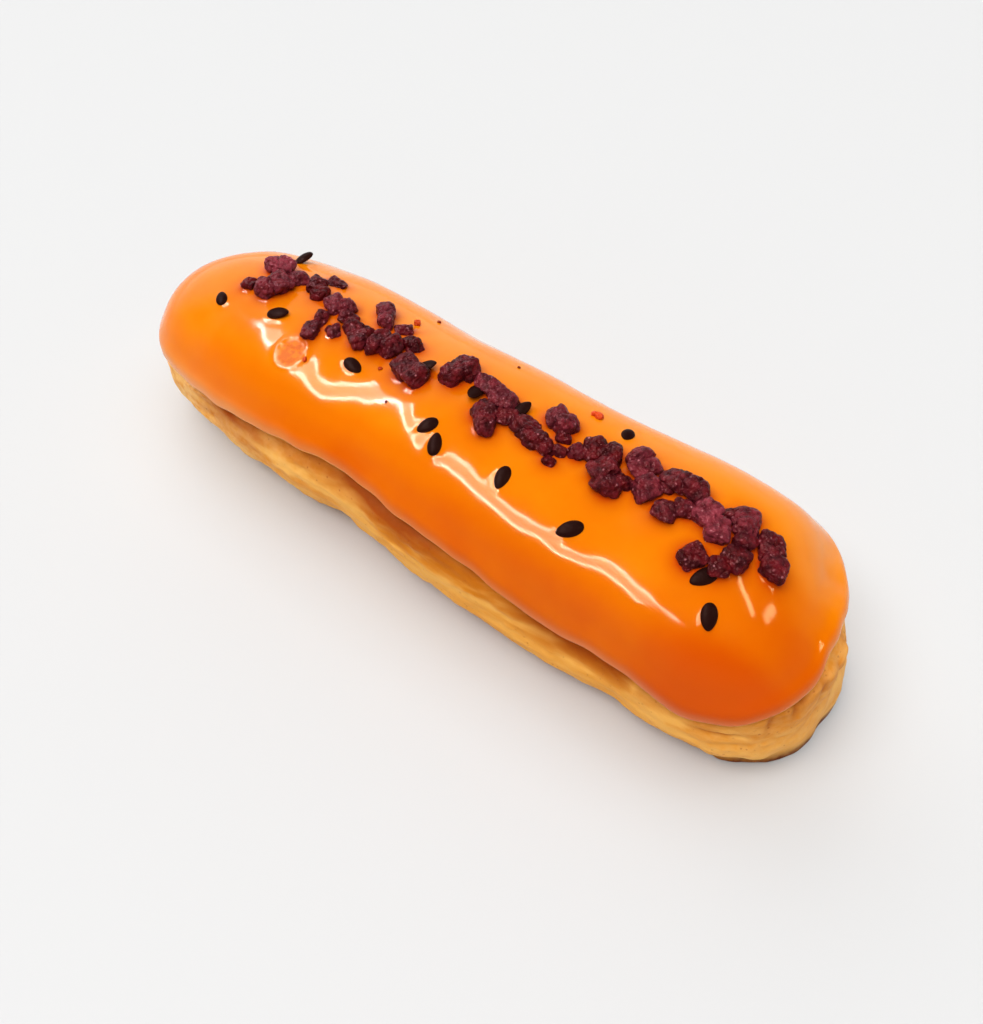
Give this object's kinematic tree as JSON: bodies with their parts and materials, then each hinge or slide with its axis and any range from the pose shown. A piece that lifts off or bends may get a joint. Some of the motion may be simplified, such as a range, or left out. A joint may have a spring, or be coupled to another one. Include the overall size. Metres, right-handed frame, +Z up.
{
  "type": "eclair",
  "caption": "Long choux pastry with rounded ends and a flat base, covered over the top with a glossy orange glaze that carries a line of dark crumbs and scattered seeds.",
  "frame": {"origin": "centre of the footprint on the surface the eclair rests on, under the middle of its bounding box", "axes": "+X along the length towards the end whose row of crumbs ends nearest the tip, +Y across it, +Z up through the glaze"},
  "size_m": [0.1327, 0.0399, 0.0344],
  "materials": {
    "choux": "dry golden baked crust, browner in the hollow under the glaze",
    "glaze": "wet glossy orange glaze, with dark red-brown crumbs and near-black seeds on it"
  },
  "bodies": {
    "root": {"choux": "choux", "glaze": "glaze"}
  },
  "joints": []
}
